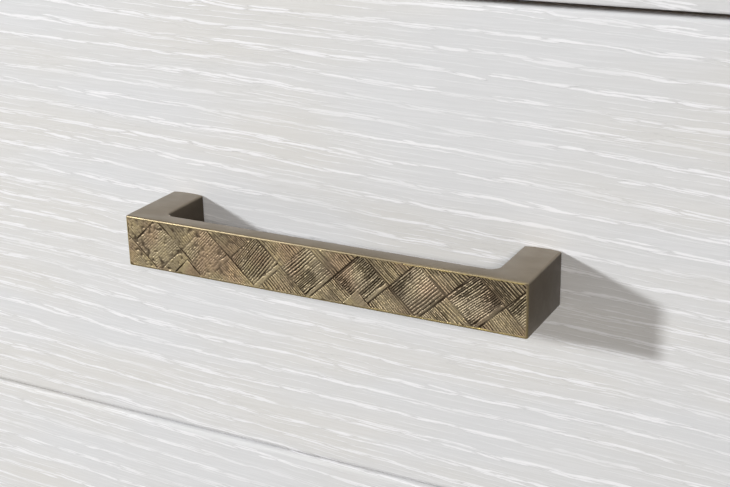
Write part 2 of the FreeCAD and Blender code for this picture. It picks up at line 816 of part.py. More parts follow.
def make_slides(name, lift):
    for hand, side in (("left", LEFT), ("right", RIGHT)):
        label = f"{name}_{hand}_{{}}_slide"
        bore = S.slide_screw + 2 * S.screw_clearance
        channel, low, high = make_channel(
            label.format("case"), side, as_size(0), S.slide_flange, outer_half, lift)
        drill(channel, "x", low, high, slide_hole_places(), bore)
        channel, low, high = make_channel(
            label.format("middle"), side, middle_web, middle_flange, middle_half, lift)
        drill(channel, "x", low, high, slide_hole_places(), S.access_hole)
        channel, low, high = make_channel(
            label.format("drawer"), side, S.slide_thickness, drawer_flange, drawer_half, lift)
        drill(channel, "x", low, high, slide_hole_places(), bore)

    head = S.slide_sheet
    pin = screw(S.slide_screw, S.slide_screw_grip + head - S.hole_room, THIN_HEAD_RISE)
    seat = S.slide_thickness - head
    drawer_pins = [
        stand(pin, (from_case(side, seat), y, z), (side, 0, 0))
        for side in (LEFT, RIGHT) for y, z in slide_hole_places()
    ]
    group(f"{name}_drawer_slide_screws", drawer_pins, lift)
    make_balls(f"{name}_outer_ball_cages", outer_ball_x, outer_ball, lift)
    make_balls(f"{name}_inner_ball_cages", inner_ball_x, inner_ball, lift)
    return [
        stand(pin, (from_case(side, head), y, z + lift), (-side, 0, 0))
        for side in (LEFT, RIGHT) for y, z in slide_hole_places()
    ]


def make_balls(label, depth, height, lift):
    """The ball rows between two channels on both sides of a drawer, each row in its own flat cage."""
    solids = []
    radius = S.ball_diameter.value / 2
    hole_radius = radius + S.ball_clearance.value / 2
    width, thick = S.cage_width.value, S.cage_thickness.value
    for side in (LEFT, RIGHT):
        for level in (LOW, HIGH):
            x, z = from_case(side, depth).value, (slide_z + level * height).value
            corner = Vector(x - width / 2, cage_y.value, z - thick / 2)
            cage = Part.makeBox(width, cage_length.value, thick, corner)
            for n in range(int(S.ball_count.value)):
                y = (cage_y + S.cage_width + S.ball_pitch * n).value
                cage = cage.cut(Part.makeCylinder(hole_radius, thick, Vector(x, y, z - thick / 2)))
                solids.append(Part.makeSphere(radius, Vector(x, y, z)))
            solids.append(cage)
    group(label, solids, lift)


def make_drawers():
    case_pins = []
    for name, lift in DRAWERS.items():
        make_front(name, lift)
        make_box(name, lift)
        make_pull(name, lift)
        case_pins += make_slides(name, lift)
    group("case_slide_screws", case_pins)


def check_model():
    """Stops unless every object is sound and every pocket took something away."""
    doc.recompute()
    for item in doc.Objects:
        if {"Invalid", "Error"} & set(item.State):
            raise RuntimeError(f"{item.Label} failed: {item.State}")
        if item.TypeId == "PartDesign::Pocket" and near(item.BaseFeature.Shape.Volume, item.Shape.Volume):
            raise RuntimeError(f"{item.Label} cut nothing")
    for node in nodes:
        if node.Shape.isNull() or not node.Shape.isValid() or not node.Shape.Solids:
            raise RuntimeError(f"{node.Label} has no sound solid")


make_case()
make_base()
make_drawers()
check_model()
os.makedirs("parts", exist_ok=True)
for node in nodes:
    node.Shape.exportStep(f"parts/{node.Label}.step")
print(f"{len(nodes)} nodes, {sum(len(node.Shape.Solids) for node in nodes)} solids")
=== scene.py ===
"""Looks of a two-drawer nightstand in white limed oak with scored bronze pulls.

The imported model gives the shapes. This file gives every part its finish, builds the two pulls
with their scored fronts, and sets the floor, the lamps and the camera.
"""

import math

import bmesh
import bpy
from bpy.props import FloatProperty, FloatVectorProperty, IntProperty, PointerProperty
from mathutils import Matrix, Vector, noise


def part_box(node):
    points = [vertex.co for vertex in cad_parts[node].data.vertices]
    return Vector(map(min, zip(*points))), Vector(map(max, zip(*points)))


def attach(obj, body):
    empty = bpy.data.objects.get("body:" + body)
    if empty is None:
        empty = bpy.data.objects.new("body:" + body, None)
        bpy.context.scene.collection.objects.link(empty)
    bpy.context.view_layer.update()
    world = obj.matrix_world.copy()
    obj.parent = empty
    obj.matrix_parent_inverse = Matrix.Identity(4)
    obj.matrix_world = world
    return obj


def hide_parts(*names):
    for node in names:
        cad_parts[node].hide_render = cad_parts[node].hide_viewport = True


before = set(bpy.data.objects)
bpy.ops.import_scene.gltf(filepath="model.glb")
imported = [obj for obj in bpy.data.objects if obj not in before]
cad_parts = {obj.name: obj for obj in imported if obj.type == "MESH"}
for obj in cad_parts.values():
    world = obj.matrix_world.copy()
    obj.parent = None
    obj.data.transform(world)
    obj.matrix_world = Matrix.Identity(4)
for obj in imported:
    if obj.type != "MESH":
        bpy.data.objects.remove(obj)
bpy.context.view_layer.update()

bl_info = {
    "name": "Limed Oak Nightstand",
    "version": (1, 0, 0),
    "blender": (4, 5, 0),
    "location": "View3D > Sidebar > Nightstand",
    "description": "Finishes a two-drawer nightstand and builds its scored pulls",
    "category": "Object",
}

DRAWERS = ("upper", "lower")
IMAGE_WIDTH_PX = 730
MILLIMETRE = 0.001
# Two places nearer than this count as one
HAIRBREADTH = MILLIMETRE / 100

# Wear and painted light kept for each vertex of a pull, from 0 to 1: depth of its scoring, bare brass, rubbed
# metal that is also painted light on the top face, and reddish metal
WEAR = ("score", "bare", "rubbed", "ruddy")
BETWEEN_ABOVE, DIAMOND, BETWEEN_BELOW = 1, 0, 2
# For each kind of patch on the scored front: how polished and how bare its ridges are,
# how far apart its lines stand, and how often they break off
RIDGE_POLISH = {BETWEEN_ABOVE: 0.58, DIAMOND: 0.69, BETWEEN_BELOW: 0.62}
RIDGE_BRASS = {BETWEEN_ABOVE: 0.42, DIAMOND: 0.28, BETWEEN_BELOW: 0.42}
LINE_SPREAD = {BETWEEN_ABOVE: 1.1, DIAMOND: 1.0, BETWEEN_BELOW: 1.1}
LINE_BREAKS = {BETWEEN_ABOVE: 0.9, DIAMOND: 0.7, BETWEEN_BELOW: 0.9}
# Slope of the scored lines in degrees, and how far it differs from patch to patch
LINE_SLOPE = 45
SLOPE_SPREAD = 10
# Smooth wedges on the front: place of each one's tip along the bar and above its middle, metres
SMOOTH_WEDGES = ((-0.0505, -0.0034), (0.0162, -0.0033))
# Stretches of the bar over which its wear and its painted shade change, from -1 at the left end to 1 at the
# right end
WORN_END = (-0.85, -0.25)
# Painted shade: towards the left end the rim's upper half is darkened, to dim the lamp's highlight there
DULL_END = (-0.95, -0.2)
LEFT_PART = (-0.7, 0.4)
RIGHT_PART = (-0.5, 0.8)
# Bends of the blank pull past which an edge is eased, and of the finished one past which it looks sharp
EASED_BEND = math.radians(40)
SHARP_BEND = math.radians(38)

# Rows of lime slivers in a growth ring: seed, usual length, half breadth and how far they stray, metres
BOLD_ROWS = (
    (0.0, 0.018, 0.00058, 0.0005),
    (3.77, 0.012, 0.00047, 0.0009),
    (1.93, 0.026, 0.00040, 0.0011),
    (5.59, 0.015, 0.00042, 0.0012),
)
FINE_ROW = (2.41, 0.032, 0.00026, 0.0009)
SLIVER_LEAN = 0.0008
# What keeps the slivers of neighbouring rings from lining up
RING_STRIDE = 7.31
RING_SHIFT = 1.618
# How slowly the slivers' lengths vary along the grain, and how much
DRIFT_LENGTH = 1.7
DRIFT_REACH = 1.6
GRAIN_SLOPE = 0.033
# Share of the usual ring spacing at which the fine slivers stand
FINE_SPACING = 0.33
# How the growth rings wander: how often along and across the grain in a metre, and how far in metres
GRAIN_SWAY = (
    (5.0, 20.0, 0.010),
    (45.0, 120.0, 0.0016),
    (320.0, 2400.0, 0.0005),
)

ACROSS = (0.0, 0.0, 0.0)
UPRIGHT = (0.0, math.radians(90), 0.0)
FRONT_TO_BACK = (0.0, 0.0, math.radians(-90))

# The lamps shine at the upper pull, each from its own direction
LAMP_AIM = Vector((0.0, -0.2, 0.49))
TO_KEY = Vector((-0.712, -0.641, 0.287))
TO_FRONT = Vector((0.435, -0.818, 0.376))
TO_REAR = Vector((0.62, 0.62, 0.48))
DAYLIGHT = (0.975, 0.99, 1.0)
WARM_LIGHT = (1.0, 0.955, 0.905)
FLOOR_RADIUS = 9.0
# Distances from the middle over which the floor fades into the background
FLOOR_FADE = (0.9, 3.2)
# Share of the floor's colour in the light that it throws back on the object
FLOOR_BOUNCE = 0.2


def paint(red, green, blue):
    """A colour in the 0 to 255 steps of a paint chart, as the linear values that shaders use."""
    shares = [step / 255 for step in (red, green, blue)]
    return tuple(s / 12.92 if s <= 0.04045 else ((s + 0.055) / 1.055) ** 2.4 for s in shares)


def opaque(colour):
    """A three-part colour with full cover, for a node's colour socket."""
    return (*colour, 1.0)


def colour_setting(name, description, default):
    """A colour that a user can change."""
    return FloatVectorProperty(
        name=name, description=description, subtype="COLOR", size=3, min=0.0, max=1.0, default=default
    )


def length_setting(name, description, default):
    """A length in metres that a user can change."""
    return FloatProperty(
        name=name, description=description, unit="LENGTH", precision=5, min=0.0, default=default
    )


def angle_setting(name, description, degrees):
    """An angle that a user can change."""
    return FloatProperty(
        name=name, description=description, subtype="ANGLE", default=math.radians(degrees)
    )


def amount_setting(name, description, default):
    """An amount from 0 up that a user can change."""
    return FloatProperty(name=name, description=description, min=0.0, default=default)


class OakSettings(bpy.types.PropertyGroup):
    """The limed oak of the case, the base and the drawer fronts."""

    ground: colour_setting("Ground", "Colour of the pickled wood", paint(221, 222, 224))
    warm_ground: colour_setting("Warm ground", "Colour of its faint warm patches", paint(221, 220, 218))
    lime: colour_setting("Lime", "Colour of the lime that fills the open grain", paint(247, 247, 250))
    streak_spacing: length_setting("Streak spacing", "Distance between growth rings", 0.0068)
    streak_length: length_setting("Streak length", "Usual length of a lime streak", 0.055)
    inside: colour_setting("Inside", "Colour of the plain oak inside the case", paint(176, 148, 116))
    inside_fibre: colour_setting("Inside fibre", "Colour of its darker fibres", paint(138, 106, 74))


class BoxSettings(bpy.types.PropertyGroup):
    """The birch drawer boxes and the plywood panels."""

    birch: colour_setting("Birch", "Colour of the drawer wood", paint(233, 219, 194))
    birch_fibre: colour_setting("Birch fibre", "Colour of its darker fibres", paint(207, 182, 146))
    veneer: colour_setting("Veneer", "Colour of the plywood's outer plies", paint(230, 216, 190))
    core_ply: colour_setting("Core ply", "Colour of the crosswise plies in an edge", paint(186, 156, 118))
    ply: length_setting("Ply", "Thickness of one ply", 0.0012)


class MetalSettings(bpy.types.PropertyGroup):
    """The bronze pulls, the zinc-plated slides and screws, and the nylon glides."""

    bronze: colour_setting("Bronze", "Colour of the smooth darkened metal", paint(90, 81, 69))
    # This lighter bronze is also painted on the pull's top face as painted light from above
    rubbed_bronze: colour_setting("Rubbed bronze", "Colour where hands have rubbed it", paint(152, 141, 125))
    ruddy_bronze: colour_setting("Ruddy bronze", "Colour of its reddish patches", paint(155, 130, 112))
    bare_brass: colour_setting("Bare brass", "Colour where the dark finish is gone", paint(192, 172, 114))
    score: colour_setting("Score", "Colour at the bottom of the scored lines", paint(44, 33, 23))
    zinc: colour_setting("Zinc", "Colour of the zinc plating", paint(196, 199, 202))
    steel: colour_setting("Bright steel", "Colour of the ball rows", paint(214, 216, 218))
    nylon: colour_setting("Nylon", "Colour of the leg glides", paint(72, 70, 67))


class PullSettings(bpy.types.PropertyGroup):
    """Sizes of the pulls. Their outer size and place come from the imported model."""

    bar_thickness: length_setting("Bar thickness", "Front to back thickness of the bar", 0.0062)
    leg_width: length_setting("Leg width", "Width of each leg along the bar", 0.013)
    inner_radius: length_setting("Inner radius", "Rounding where a leg meets the bar", 0.0035)
    edge_radius: length_setting("Edge radius", "Rounding of the outer edges", 0.0007)
    foot_radius: length_setting("Foot radius", "Rounding of the legs' upright edges at the drawer", 0.0008)
    cell_pitch: length_setting("Cell pitch", "Distance between the diamonds along the bar", 0.02023)
    first_corner: length_setting("First corner", "Place of the last diamond's corner from the middle", 0.0686)
    line_pitch: length_setting("Line pitch", "Distance between scored lines", 0.0008)
    score_depth: length_setting("Score depth", "Depth of a scored line", 0.00042)
    rim_width: length_setting("Rim width", "Width of the smooth rim round the front", 0.0004)
    front_cuts: IntProperty(
        name="Front cuts", description="Cuts across each square of the front", min=8, max=110, default=104
    )


class StageSettings(bpy.types.PropertyGroup):
    """The camera, the lamps and the floor."""

    camera_place: FloatVectorProperty(
        name="Camera place",
        description="Where the camera stands",
        subtype="TRANSLATION",
        unit="LENGTH",
        size=3,
        default=(0.20581, -0.57979, 0.65950),
    )
    camera_azimuth: angle_setting("Azimuth", "Turn of the view to the left", 27.922)
    camera_elevation: angle_setting("Elevation", "Downward tilt of the view", 20.650)
    camera_roll: angle_setting("Roll", "Sideways tilt of the view", -1.254)
    focal_pixels: amount_setting("Focal length", "Focal length in pixels of the image", 1320.3)
    key_power: amount_setting("Key power", "Power of the lamp at the front left, watts", 153.0)
    front_strength: amount_setting("Front light", "Strength of the light from beside the camera", 1.16)
    rear_strength: amount_setting("Rear light", "Strength of the soft light from behind", 1.3)
    fill_strength: amount_setting("Fill", "Strength of the light all round", 0.1)
    rear_fill: amount_setting("Rear fill", "Strength of the light all round on the far side", 0.45)
    floor: colour_setting("Floor", "Colour of the floor", paint(226, 224, 220))
    background: colour_setting("Background", "Colour behind everything", paint(238, 237, 235))


class NightstandSettings(bpy.types.PropertyGroup):
    """All the values that a user can change."""

    oak: PointerProperty(type=OakSettings)
    box: PointerProperty(type=BoxSettings)
    metal: PointerProperty(type=MetalSettings)
    pull: PointerProperty(type=PullSettings)
    stage: PointerProperty(type=StageSettings)


def add_node(tree, kind, inputs=(), **options):
    """Adds a node, sets its options, and gives each named input a value or another node's output."""
    node = tree.nodes.new(kind)
    for option, value in options.items():
        setattr(node, option, value)
    for socket, value in dict(inputs).items():
        if isinstance(value, bpy.types.NodeSocket):
            tree.links.new(value, node.inputs[socket])
        else:
            node.inputs[socket].default_value = value
    return node


def reckon(tree, operation, *values):
    """The result of one sum on values or outputs."""
    return add_node(tree, "ShaderNodeMath", enumerate(values), operation=operation).outputs[0]


def stretch(tree, vector, factors):
    """A vector with each of its parts multiplied."""
    node = add_node(tree, "ShaderNodeVectorMath", {0: vector, 1: factors}, operation="MULTIPLY")
    return node.outputs[0]


def shift(tree, vector, other):
    """The sum of two vectors."""
    return add_node(tree, "ShaderNodeVectorMath", {0: vector, 1: other}, operation="ADD").outputs[0]


def compose(tree, along, side, up):
    """A vector from three values."""
    return add_node(tree, "ShaderNodeCombineXYZ", {"X": along, "Y": side, "Z": up}).outputs[0]


def cloud(tree, vector, detail=0.0, roughness=0.5):
    """Soft noise from 0 to 1 whose features are about one unit of the vector in size."""
    inputs = {"Vector": vector, "Scale": 1.0, "Detail": detail, "Roughness": roughness}
    return add_node(tree, "ShaderNodeTexNoise", inputs).outputs["Fac"]


def grained(tree, place, along, across, detail=0.0, roughness=0.5):
    """Soft noise from 0 to 1 that changes so often in a metre along X and across it."""
    return cloud(tree, stretch(tree, place, (along, across, across)), detail, roughness)


def ease(tree, value, low, high):
    """0 below low, 1 above high, and a smooth rise between."""
    inputs = {"Value": value, "From Min": low, "From Max": high}
    return add_node(tree, "ShaderNodeMapRange", inputs, interpolation_type="SMOOTHSTEP").outputs["Result"]


def span(tree, value, low, high):
    """A 0 to 1 value brought to the range from low to high."""
    inputs = {"Value": value, "To Min": low, "To Max": high}
    return add_node(tree, "ShaderNodeMapRange", inputs).outputs["Result"]


def mingle(tree, amount, first, second, share=1.0):
    """The first colour at amount 0, and at amount 1 a share of the second over it."""
    if share < 1.0:
        amount = reckon(tree, "MULTIPLY", amount, share)
    node = add_node(tree, "ShaderNodeMix", {0: amount, 6: first, 7: second}, data_type="RGBA")
    return node.outputs[2]


def start_group(name, inputs, outputs):
    """A new node group with its sockets: the tree, its inputs' node and its outputs' node."""
    tree = bpy.data.node_groups.new(name, "ShaderNodeTree")
    for label, kind in inputs.items():
        tree.interface.new_socket(label, in_out="INPUT", socket_type=kind)
    for label in outputs:
        tree.interface.new_socket(label, in_out="OUTPUT", socket_type="NodeSocketFloat")
    return tree, tree.nodes.new("NodeGroupInput"), tree.nodes.new("NodeGroupOutput")


def shared_group(name, build):
    """The node group of that name, built the first time it is asked for."""
    return bpy.data.node_groups.get(name) or build(name)


def lime_slivers(tree, along, rings, spacing, row):
    """A mask of one row of pointed lime slivers in each growth ring, each with its own place and breadth."""
    seed, length, breadth, spread = row
    ring = reckon(tree, "FLOOR", rings)
    off_ring = reckon(tree, "SUBTRACT", reckon(tree, "FRACT", rings), 0.5)
    off_middle = reckon(tree, "MULTIPLY", off_ring, spacing)
    own = reckon(tree, "MULTIPLY_ADD", ring, RING_STRIDE, seed)
    slowly = reckon(tree, "DIVIDE", along, length * DRIFT_LENGTH)
    drift = cloud(tree, compose(tree, slowly, own, 0.0))
    lengths = reckon(tree, "DIVIDE", along, length)
    steps = reckon(tree, "ADD", lengths, reckon(tree, "MULTIPLY", own, RING_SHIFT))
    steps = reckon(tree, "MULTIPLY_ADD", drift, DRIFT_REACH, steps)
    cell = compose(tree, reckon(tree, "FLOOR", steps), own, 0.0)
    luck = add_node(tree, "ShaderNodeTexWhiteNoise", {"Vector": cell}, noise_dimensions="2D").outputs["Color"]
    chances = add_node(tree, "ShaderNodeSeparateColor", {0: luck})
    weight, place, turn = chances.outputs

    part = reckon(tree, "FRACT", steps)
    tilt = span(tree, turn, -SLIVER_LEAN, SLIVER_LEAN * 0.5)
    lean = reckon(tree, "MULTIPLY", tilt, reckon(tree, "SUBTRACT", part, 0.5))
    middle = reckon(tree, "ADD", span(tree, place, -spread, spread), lean)
    # A sliver is broadest in its middle and comes to a point at both ends
    bow = reckon(tree, "ABSOLUTE", reckon(tree, "MULTIPLY_ADD", part, 2.0, -1.0))
    taper = reckon(tree, "SUBTRACT", 1.02, reckon(tree, "POWER", bow, 3.0))
    half = reckon(tree, "MULTIPLY", span(tree, weight, breadth * 0.4, breadth), taper)
    distance = reckon(tree, "ABSOLUTE", reckon(tree, "SUBTRACT", off_middle, middle))
    sliver = ease(tree, distance, half, reckon(tree, "MULTIPLY", half, 0.3))
    return reckon(tree, "MULTIPLY", sliver, ease(tree, weight, 0.0, 0.35))


def build_limed_grain(name):
    """Lime streaks along the vector's X axis, with hairlines and faint broad patches between them."""
    tree, given, made = start_group(
        name,
        {"Vector": "NodeSocketVector", "Spacing": "NodeSocketFloat", "Length": "NodeSocketFloat"},
        ["Streaks", "Hairlines", "Patches"],
    )
    place = given.outputs["Vector"]
    parts = add_node(tree, "ShaderNodeSeparateXYZ", {0: place})
    along = parts.outputs["X"]
    across = reckon(tree, "ADD", parts.outputs["Y"], parts.outputs["Z"])
    across = reckon(tree, "MULTIPLY_ADD", along, GRAIN_SLOPE, across)
    for often_along, often_across, reach in GRAIN_SWAY:
        sway = grained(tree, place, often_along, often_across, detail=1.0)
        waver = reckon(tree, "SUBTRACT", sway, 0.5)
        across = reckon(tree, "MULTIPLY_ADD", waver, reach, across)

    spacing = given.outputs["Spacing"]
    rings = reckon(tree, "DIVIDE", across, spacing)
    bold = 0.0
    for row in BOLD_ROWS:
        bold = reckon(tree, "MAXIMUM", bold, lime_slivers(tree, along, rings, spacing, row))
    own = reckon(tree, "MULTIPLY", reckon(tree, "FLOOR", rings), 5.17)
    swell = cloud(tree, compose(tree, reckon(tree, "DIVIDE", along, given.outputs["Length"]), own, 0.0))
    bold = reckon(tree, "MULTIPLY", bold, span(tree, ease(tree, swell, 0.3, 0.5), 0.5, 1.0))

    patches = grained(tree, place, along=9.0, across=30.0, detail=2.0)
    close_spacing = reckon(tree, "MULTIPLY", spacing, FINE_SPACING)
    close_rings = reckon(tree, "DIVIDE", across, close_spacing)
    fine = lime_slivers(tree, along, close_rings, close_spacing, FINE_ROW)
    fine = reckon(tree, "MULTIPLY", fine, span(tree, ease(tree, patches, 0.4, 0.6), 0.3, 0.85))
    tree.links.new(reckon(tree, "MAXIMUM", bold, fine), made.inputs["Streaks"])

    hair = grained(tree, place, along=45.0, across=1500.0, detail=2.0, roughness=0.6)
    tree.links.new(ease(tree, hair, 0.4, 0.68), made.inputs["Hairlines"])
    tree.links.new(ease(tree, patches, 0.38, 0.66), made.inputs["Patches"])
    return tree


def build_plain_grain(name):
    """Close fibres and slow growth bands along the vector's X axis, as in birch."""
    tree, given, made = start_group(
        name, {"Vector": "NodeSocketVector"}, ["Fibres", "Growth", "Flecks"]
    )
    place = given.outputs["Vector"]
    waver = grained(tree, place, along=4.0, across=9.0, detail=1.0)
    sway = reckon(tree, "MULTIPLY", reckon(tree, "SUBTRACT", waver, 0.5), 0.03)
    grain = shift(tree, place, compose(tree, 0.0, sway, sway))
    fibres = grained(tree, grain, along=16.0, across=900.0, detail=2.0, roughness=0.6)
    tree.links.new(ease(tree, fibres, 0.35, 0.7), made.inputs["Fibres"])
    growth = grained(tree, grain, along=2.5, across=75.0, detail=2.0)
    tree.links.new(ease(tree, growth, 0.35, 0.68), made.inputs["Growth"])
    flecks = grained(tree, grain, along=190.0, across=1900.0)
    tree.links.new(ease(tree, flecks, 0.68, 0.8), made.inputs["Flecks"])
    return tree


def build_handling(name):
    """Smudges from hands and fine scratches along the vector's X axis, for metal and plastic."""
    tree, given, made = start_group(
        name, {"Vector": "NodeSocketVector"}, ["Smudges", "Scratches", "Mottle"]
    )
    place = given.outputs["Vector"]
    smudges = grained(tree, place, along=55.0, across=80.0, detail=3.0)
    tree.links.new(ease(tree, smudges, 0.32, 0.7), made.inputs["Smudges"])
    scratches = grained(tree, place, along=60.0, across=5200.0, detail=1.0)
    tree.links.new(ease(tree, scratches, 0.5, 0.75), made.inputs["Scratches"])
    mottle = grained(tree, place, along=420.0, across=420.0, detail=3.0, roughness=0.6)
    tree.links.new(ease(tree, mottle, 0.3, 0.7), made.inputs["Mottle"])
    return tree


def start_material(name):
    """An empty node material with its surface shader: the material, its tree and the shader."""
    material = bpy.data.materials.new(name)
    material.use_nodes = True
    tree = material.node_tree
    tree.nodes.clear()
    shader = tree.nodes.new("ShaderNodeBsdfPrincipled")
    output = tree.nodes.new("ShaderNodeOutputMaterial")
    tree.links.new(shader.outputs["BSDF"], output.inputs["Surface"])
    return material, tree, shader


def turned_place(tree, turn):
    """The place on the piece, turned so that the grain runs along X."""
    place = tree.nodes.new("ShaderNodeTexCoord").outputs["Object"]
    return add_node(tree, "ShaderNodeMapping", {"Vector": place, "Rotation": turn}).outputs["Vector"]


def effect(tree, name, build, **inputs):
    """The outputs of a shared effect that is placed in a material."""
    return add_node(tree, "ShaderNodeGroup", inputs, node_tree=shared_group(name, build)).outputs


def emboss(tree, shader, height, depth):
    """Gives the shader a relief from a 0 to 1 height and its depth in metres."""
    bump = add_node(tree, "ShaderNodeBump", {"Height": height, "Strength": 1.0, "Distance": depth})
    tree.links.new(bump.outputs["Normal"], shader.inputs["Normal"])


def roughen(tree, shader, mask, least, most):
    """Gives the shader a roughness that rises from least to most with a 0 to 1 mask."""
    tree.links.new(span(tree, mask, least, most), shader.inputs["Roughness"])


def within(tree, low, high):
    """A mask of the part of a piece that lies between two corners."""
    place = tree.nodes.new("ShaderNodeTexCoord").outputs["Object"]
    parts = add_node(tree, "ShaderNodeSeparateXYZ", {0: place}).outputs
    mask = 1.0
    for part, lowest, highest in zip(parts, low, high):
        mask = reckon(tree, "MULTIPLY", mask, reckon(tree, "GREATER_THAN", part, lowest))
        mask = reckon(tree, "MULTIPLY", mask, reckon(tree, "LESS_THAN", part, highest))
    return mask


def limed_oak(name, turn, oak, hollow=None):
    """White limed oak with its grain along one axis, left plain where it faces a hollow."""
    material, tree, shader = start_material(name)
    place = turned_place(tree, turn)
    grain = effect(
        tree,
        "Limed Grain",
        build_limed_grain,
        Vector=place,
        Spacing=oak.streak_spacing,
        Length=oak.streak_length,
    )
    ground = mingle(tree, grain["Patches"], opaque(oak.ground), opaque(oak.warm_ground))
    brushed = mingle(tree, grain["Hairlines"], ground, opaque(oak.lime), share=0.16)
    colour = mingle(tree, grain["Streaks"], brushed, opaque(oak.lime))
    if hollow:
        fibres = effect(tree, "Plain Grain", build_plain_grain, Vector=place)["Fibres"]
        plain = mingle(tree, fibres, opaque(oak.inside), opaque(oak.inside_fibre))
        colour = mingle(tree, within(tree, *hollow), colour, plain)
    tree.links.new(colour, shader.inputs["Base Color"])
    roughen(tree, shader, grain["Hairlines"], least=0.5, most=0.62)
    height = reckon(tree, "MULTIPLY_ADD", grain["Hairlines"], 0.25, grain["Streaks"])
    emboss(tree, shader, height, depth=0.00006)
    shader.inputs["Specular IOR Level"].default_value = 0.3
    return material


def birch(name, turn, box):
    """Pale lacquered birch with its grain along one axis."""
    material, tree, shader = start_material(name)
    grain = effect(tree, "Plain Grain", build_plain_grain, Vector=turned_place(tree, turn))
    dark = opaque(box.birch_fibre)
    banded = mingle(tree, grain["Growth"], opaque(box.birch), dark, share=0.4)
    fibred = mingle(tree, grain["Fibres"], banded, dark, share=0.35)
    flecked = mingle(tree, grain["Flecks"], fibred, dark, share=0.5)
    tree.links.new(flecked, shader.inputs["Base Color"])
    roughen(tree, shader, grain["Fibres"], least=0.36, most=0.5)
    emboss(tree, shader, grain["Fibres"], depth=0.00003)
    return material


def plywood(name, turn, thickness_axis, outer_face, box):
    """Birch plywood: long grain on its faces and crosswise plies in its edges."""
    material, tree, shader = start_material(name)
    grain = effect(tree, "Plain Grain", build_plain_grain, Vector=turned_place(tree, turn))
    place = tree.nodes.new("ShaderNodeTexCoord").outputs["Object"]
    parts = add_node(tree, "ShaderNodeSeparateXYZ", {0: place})
    depth = reckon(tree, "SUBTRACT", parts.outputs[thickness_axis], outer_face)
    layer = reckon(tree, "PINGPONG", reckon(tree, "DIVIDE", depth, box.ply), 1.0)
    crosswise = ease(tree, layer, 0.55, 0.65)
    dark = opaque(box.birch_fibre)
    banded = mingle(tree, grain["Growth"], opaque(box.veneer), dark, share=0.5)
    fibred = mingle(tree, grain["Fibres"], banded, dark, share=0.4)
    layered = mingle(tree, crosswise, fibred, opaque(box.core_ply), share=0.8)
    tree.links.new(layered, shader.inputs["Base Color"])
    roughen(tree, shader, grain["Fibres"], least=0.5, most=0.62)
    emboss(tree, shader, grain["Fibres"], depth=0.00004)
    return material


def plated_steel(name, turn, metal):
    """Zinc-plated steel with a faint mottle and drawing marks along one axis."""
    material, tree, shader = start_material(name)
    marks = effect(tree, "Handling Marks", build_handling, Vector=turned_place(tree, turn))
    dull = tuple(part * 0.7 for part in metal.zinc)
    mottled = mingle(tree, marks["Mottle"], opaque(metal.zinc), opaque(dull), share=0.5)
    tree.links.new(mottled, shader.inputs["Base Color"])
    roughen(tree, shader, marks["Smudges"], least=0.28, most=0.44)
    emboss(tree, shader, marks["Scratches"], depth=0.000012)
    shader.inputs["Metallic"].default_value = 1.0
    return material


def bright_steel(name, turn, metal):
    """Polished bearing steel with a thin film of grease in places."""
    material, tree, shader = start_material(name)
    marks = effect(tree, "Handling Marks", build_handling, Vector=turned_place(tree, turn))
    greasy = tuple(part * share for part, share in zip(metal.steel, (0.72, 0.66, 0.52)))
    filmed = mingle(tree, marks["Smudges"], opaque(metal.steel), opaque(greasy), share=0.45)
    tree.links.new(filmed, shader.inputs["Base Color"])
    roughen(tree, shader, marks["Smudges"], least=0.1, most=0.26)
    shader.inputs["Metallic"].default_value = 1.0
    return material


def moulded_nylon(name, turn, metal):
    """Dark moulded nylon, scuffed where it slides on the floor."""
    material, tree, shader = start_material(name)
    marks = effect(tree, "Handling Marks", build_handling, Vector=turned_place(tree, turn))
    scuffed = tuple(min(1.0, part * 1.9) for part in metal.nylon)
    scratched = mingle(tree, marks["Scratches"], opaque(metal.nylon), opaque(scuffed), share=0.5)
    tree.links.new(scratched, shader.inputs["Base Color"])
    roughen(tree, shader, marks["Mottle"], least=0.4, most=0.58)
    emboss(tree, shader, marks["Mottle"], depth=0.00002)
    return material


def aged_bronze(name, metal):
    """Darkened bronze. The scored front is darkest in its lines and bare on its ridges and rim. The lighter
    rubbed bronze marks handling wear, is also painted light on the pull's top face, and is held back near the
    upper left rim as painted shade that dims the lamp's highlight.
    """
    material, tree, shader = start_material(name)
    marks = effect(tree, "Handling Marks", build_handling, Vector=turned_place(tree, ACROSS))
    scored, bare, rubbed, ruddy = [
        add_node(tree, "ShaderNodeAttribute", attribute_name=label).outputs["Fac"] for label in WEAR
    ]
    # Partly handling wear, partly painted light: the top face of the pull is given the lighter rubbed bronze
    handled = reckon(tree, "MULTIPLY", rubbed, span(tree, marks["Smudges"], 1.0, 0.8))
    lighter = mingle(tree, ruddy, opaque(metal.rubbed_bronze), opaque(metal.ruddy_bronze))
    ground = mingle(tree, handled, opaque(metal.bronze), lighter)
    worn = reckon(tree, "MULTIPLY", bare, span(tree, marks["Mottle"], 1.0, 0.6))
    brassy = mingle(tree, worn, ground, opaque(metal.bare_brass))
    filled = mingle(tree, scored, brassy, opaque(metal.score))
    tree.links.new(filled, shader.inputs["Base Color"])
    gloss = reckon(tree, "MULTIPLY_ADD", marks["Smudges"], 0.1, 0.34)
    tree.links.new(reckon(tree, "MULTIPLY_ADD", scored, 0.25, gloss), shader.inputs["Roughness"])
    emboss(tree, shader, marks["Mottle"], depth=0.00001)
    shader.inputs["Metallic"].default_value = 1.0
    return material


def dress(material, nodes):
    """Gives CAD nodes a material in place of the one they came with."""
    for name in nodes:
        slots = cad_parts[name].material_slots
        if not slots:
            raise RuntimeError(f"{name} has no material slot")
        for slot in slots:
            slot.material = material


def for_each_drawer(*endings):
    """The names of nodes that each drawer has, by their endings."""
    return [f"{drawer}_{ending}" for drawer in DRAWERS for ending in endings]


